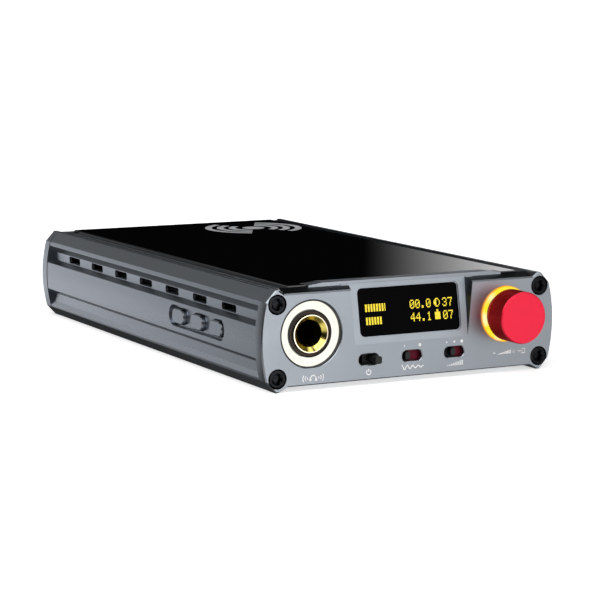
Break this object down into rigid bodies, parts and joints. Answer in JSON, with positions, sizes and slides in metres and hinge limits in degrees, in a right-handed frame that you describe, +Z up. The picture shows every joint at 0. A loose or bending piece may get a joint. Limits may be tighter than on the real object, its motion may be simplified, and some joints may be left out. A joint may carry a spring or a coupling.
{
  "type": "desktop dac headphone amplifier",
  "caption": "Slim box-shaped desktop DAC and headphone amplifier: grooved side rails, black glass top, lit jack, small display, slide switches and a red push knob.",
  "frame": {"origin": "under the middle of the whole device, knob included, on the surface that its rails stand on", "axes": "+X right seen from the front, +Y to the rear, +Z up; the front panel with the knob faces -Y"},
  "size_m": [0.08, 0.1496, 0.0247],
  "materials": {
    "grey_anodised": "bead-blasted, anodised grey, satin",
    "black_glass": "back-painted black glass, polished",
    "black_steel": "black oxide, semi-gloss",
    "gold": "gold plated",
    "contact_metal": "nickel plated",
    "white_light_guide": "frosted light guide, lit cream-white",
    "amber_light_guide": "frosted light guide, lit amber",
    "display_glass": "dark display glass, polished",
    "red_anodised": "fine-blasted, anodised red",
    "black_plastic": "moulded, matte",
    "circuit_board": "glass-fibre board, green solder mask",
    "capacitor_can": "sleeved aluminium can",
    "battery_foil": "laminated foil pouch",
    "foam_tape": "foam tape",
    "wire_jacket": "silicone",
    "connector_plastic": "moulded nylon",
    "white_ink": "white screen print",
    "silver_ink": "silver screen print",
    "lit_pixels": "lit yellow dots of the display"
  },
  "bodies": {
    "body": {"battery_cells": "battery_foil", "battery_connector": "connector_plastic", "battery_leads": "wire_jacket", "battery_tape": "foam_tape", "button_board": "circuit_board", "capacitors": "capacitor_can", "chassis": "grey_anodised", "clock_crystals": "contact_metal", "dac_chips": "black_plastic", "damping_switch_shell": "black_steel", "digital_in_barrel": "contact_metal", "digital_in_housing": "black_plastic", "display_window": "display_glass", "encoder_body": "black_plastic", "encoder_bushing": "contact_metal", "encoder_nut": "contact_metal", "front_board": "circuit_board", "front_plate": "grey_anodised", "front_screws": "black_steel", "gain_switch_shell": "black_steel", "inductors": "black_plastic", "jack_collar": "black_steel", "jack_contacts": "contact_metal", "jack_housing": "black_plastic", "jack_light_ring": "white_light_guide", "jack_sleeve": "gold", "jack_trim_ring": "black_plastic", "knob_light_ring": "amber_light_guide", "line_out_barrel": "contact_metal", "line_out_housing": "black_plastic", "main_board": "circuit_board", "oled_module": "display_glass", "op_amps": "black_plastic", "power_switch_shell": "black_steel", "processor_chip": "black_plastic", "rear_plate": "grey_anodised", "rear_screws": "black_steel", "shield_can": "contact_metal", "tact_switches": "black_plastic", "top_panel": "black_glass", "usb_data_shell": "contact_metal", "usb_data_tongue": "black_plastic", "usb_power_shell": "contact_metal", "usb_power_tongue": "black_plastic"},
    "knob_plunger": {"encoder_push_pin": "black_plastic"},
    "knob": {"volume_knob": "red_anodised", "encoder_shaft": "contact_metal"},
    "power_switch": {"power_slider": "black_plastic"},
    "damping_switch": {"damping_slider": "black_plastic"},
    "gain_switch": {"gain_slider": "black_plastic"},
    "front_button": {"side_button_front": "grey_anodised"},
    "middle_button": {"side_button_middle": "grey_anodised"},
    "rear_button": {"side_button_rear": "grey_anodised"}
  },
  "joints": [
    {"name": "knob_push", "type": "slide", "parent": "body", "child": "knob_plunger", "axis": [0, 1, 0], "range_m": [0, 0.0005], "stiffness_N_per_m": 6000},
    {"name": "knob_turn", "type": "hinge", "parent": "knob_plunger", "child": "knob", "pos_m": [0.0261, -0.0666, 0.0144], "axis": [0, 1, 0], "continuous": true},
    {"name": "power_slide", "type": "slide", "parent": "body", "child": "power_switch", "axis": [1, 0, 0], "range_m": [-0.0032, 0]},
    {"name": "damping_slide", "type": "slide", "parent": "body", "child": "damping_switch", "axis": [1, 0, 0], "range_m": [0, 0.0018]},
    {"name": "gain_slide", "type": "slide", "parent": "body", "child": "gain_switch", "axis": [1, 0, 0], "range_m": [-0.0015, 0.0015]},
    {"name": "front_button_press", "type": "slide", "parent": "body", "child": "front_button", "axis": [1, 0, 0], "range_m": [0, 0.0004], "stiffness_N_per_m": 2000},
    {"name": "middle_button_press", "type": "slide", "parent": "body", "child": "middle_button", "axis": [1, 0, 0], "range_m": [0, 0.0004], "stiffness_N_per_m": 2000},
    {"name": "rear_button_press", "type": "slide", "parent": "body", "child": "rear_button", "axis": [1, 0, 0], "range_m": [0, 0.0004], "stiffness_N_per_m": 2000}
  ]
}
